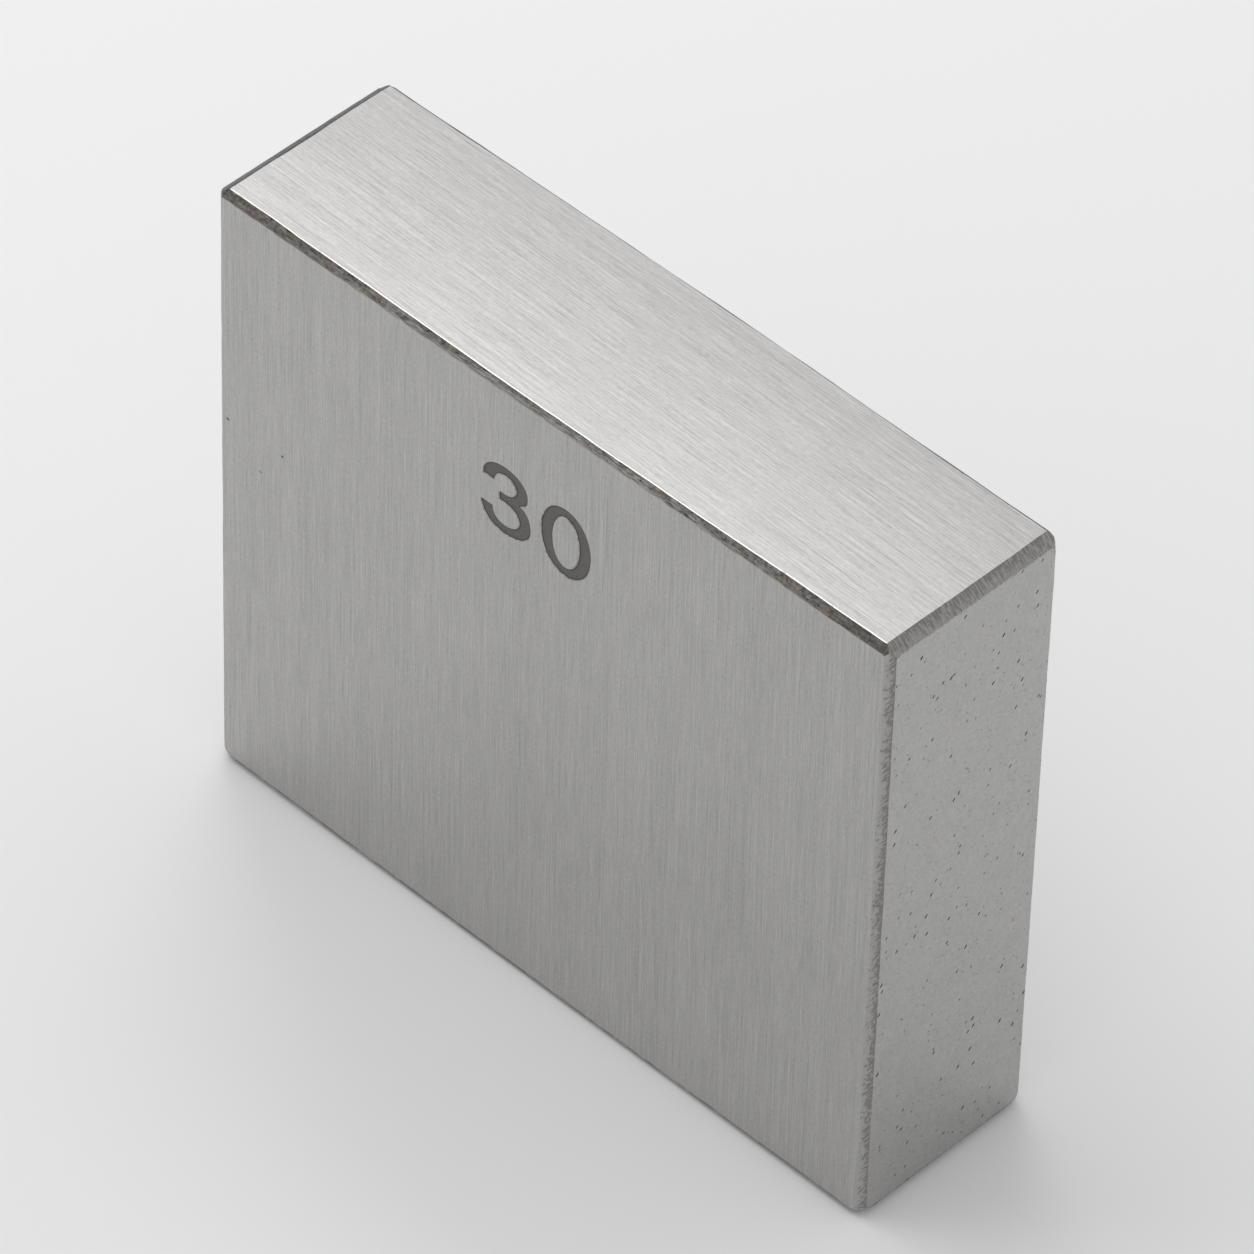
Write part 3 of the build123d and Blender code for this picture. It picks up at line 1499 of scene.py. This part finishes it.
def floor_material(colour):
    """Plain pale floor."""
    material = bpy.data.materials.new("studio_floor")
    material.use_nodes = True
    shader = material.node_tree.nodes["Principled BSDF"]
    shader.inputs["Base Color"].default_value = opaque(colour)
    shader.inputs["Roughness"].default_value = 0.7
    shader.inputs["Specular IOR Level"].default_value = 0.2
    return material


def add_floor(stage):
    """A large plain floor just under the block."""
    reach = 3.0
    gap = 0.01 * MM
    level = node_low.z - gap
    mesh = bpy.data.meshes.new("floor")
    corners = [(-reach, -reach, level), (reach, -reach, level), (reach, reach, level), (-reach, reach, level)]
    mesh.from_pydata(corners, [], [(0, 1, 2, 3)])
    mesh.materials.append(floor_material(stage.floor_colour))
    floor = bpy.data.objects.new("floor", mesh)
    bpy.context.scene.collection.objects.link(floor)


def add_sky(stage):
    """A pale sky that darkens from the horizon upwards."""
    world = bpy.data.worlds.new("studio")
    world.use_nodes = True
    tree = world.node_tree
    direction = add_node(tree, "ShaderNodeTexCoord").outputs["Generated"]
    height = add_node(tree, "ShaderNodeSeparateXYZ", {0: direction}).outputs["Z"]
    level = remap(tree, height, (0.0, 0.9), (stage.horizon_level, stage.sky_level))
    tree.links.new(level, tree.nodes["Background"].inputs["Strength"])
    tree.nodes["Background"].inputs["Color"].default_value = (1.0, 1.0, 1.0, 1.0)
    bpy.context.scene.world = world


def add_softbox(name, place, aim, width, height, radiance):
    """A soft light of a given brightness that faces a point."""
    light = bpy.data.lights.new(name, "AREA")
    light.shape = "RECTANGLE"
    light.size = width
    light.size_y = height
    light.energy = math.pi * width * height * radiance
    item = bpy.data.objects.new(name, light)
    item.location = place
    item.rotation_euler = (aim - place).to_track_quat("-Z", "Y").to_euler()
    bpy.context.scene.collection.objects.link(item)


def add_lights():
    """A large soft light overhead on the left, and a strip behind that brightens the upper measuring face."""
    key_place = Vector((-0.22, -0.10, 0.40))
    key_side, key_radiance = 0.25, 2.2
    add_softbox("key_overhead_left", key_place, block_middle, key_side, key_side, key_radiance)
    strip_place = Vector((-0.135, 0.095, 0.22))
    strip_width, strip_depth, strip_radiance = 0.17, 0.06, 3.7
    straight_down = Vector((strip_place.x, strip_place.y, 0.0))
    add_softbox("strip_back_left", strip_place, straight_down, strip_width, strip_depth, strip_radiance)


def add_camera(stage):
    """The camera at the photograph's viewing angle."""
    cos_up = math.cos(stage.elevation)
    back = Vector(
        (
            math.sin(stage.azimuth) * cos_up,
            -math.cos(stage.azimuth) * cos_up,
            math.sin(stage.elevation),
        )
    )
    right = Vector((0, 0, 1)).cross(back).normalized()
    up = back.cross(right)
    turn = Matrix.Rotation(stage.roll, 3, back)
    right, up = turn @ right, turn @ up
    data = bpy.data.cameras.new("camera")
    data.sensor_width = 36.0
    data.lens = stage.lens
    data.clip_start = 0.01
    data.clip_end = 20.0
    camera = bpy.data.objects.new("camera", data)
    camera.location = block_middle + back * stage.distance + right * stage.aside + up * stage.above
    camera.rotation_euler = Matrix((right, up, back)).transposed().to_euler()
    bpy.context.scene.collection.objects.link(camera)
    bpy.context.scene.camera = camera


class GAUGEBLOCK_OT_set_stage(bpy.types.Operator):
    """Set up the floor, the lights and the camera"""

    bl_idname = "gaugeblock.set_stage"
    bl_label = "Set stage"

    def execute(self, context):
        stage = context.scene.gauge_stage
        add_floor(stage)
        add_sky(stage)
        add_lights()
        add_camera(stage)
        context.scene.view_settings.view_transform = "Standard"
        return {"FINISHED"}


# Panel


class GAUGEBLOCK_PT_panel(bpy.types.Panel):
    """Lists the settings and the steps"""

    bl_idname = "GAUGEBLOCK_PT_panel"
    bl_label = "Gauge Block"
    bl_space_type = "VIEW_3D"
    bl_region_type = "UI"
    bl_category = "Gauge Block"

    def draw(self, context):
        for title, settings, operator in STEPS:
            box = self.layout.box()
            box.label(text=title)
            for pointer in settings:
                group = getattr(context.scene, pointer)
                for name in group.__annotations__:
                    box.prop(group, name)
            box.operator(operator)


STEPS = (
    ("Block", ("gauge_edges", "gauge_finish"), "gaugeblock.build_block"),
    ("Figures", ("gauge_figures",), "gaugeblock.etch_figures"),
    ("Pits", ("gauge_pits",), "gaugeblock.pit_ends"),
    ("Stage", ("gauge_stage",), "gaugeblock.set_stage"),
)
SETTINGS = {
    "gauge_edges": EdgeSettings,
    "gauge_figures": FigureSettings,
    "gauge_pits": PitSettings,
    "gauge_finish": FinishSettings,
    "gauge_stage": StageSettings,
}
CLASSES = (
    *SETTINGS.values(),
    GAUGEBLOCK_OT_build_block,
    GAUGEBLOCK_OT_etch_figures,
    GAUGEBLOCK_OT_pit_ends,
    GAUGEBLOCK_OT_set_stage,
    GAUGEBLOCK_PT_panel,
)


def register():
    """Registers the classes and ties the settings to the scene."""
    for made in CLASSES:
        bpy.utils.register_class(made)
    for name, group in SETTINGS.items():
        setattr(bpy.types.Scene, name, bpy.props.PointerProperty(type=group))


def unregister():
    """Takes the settings and the classes away again."""
    for name in SETTINGS:
        delattr(bpy.types.Scene, name)
    for made in reversed(CLASSES):
        bpy.utils.unregister_class(made)


def main():
    """Builds the block and its stage."""
    register()
    bpy.ops.gaugeblock.build_block()
    bpy.ops.gaugeblock.etch_figures()
    bpy.ops.gaugeblock.pit_ends()
    bpy.ops.gaugeblock.set_stage()


if __name__ == "__main__":
    main()
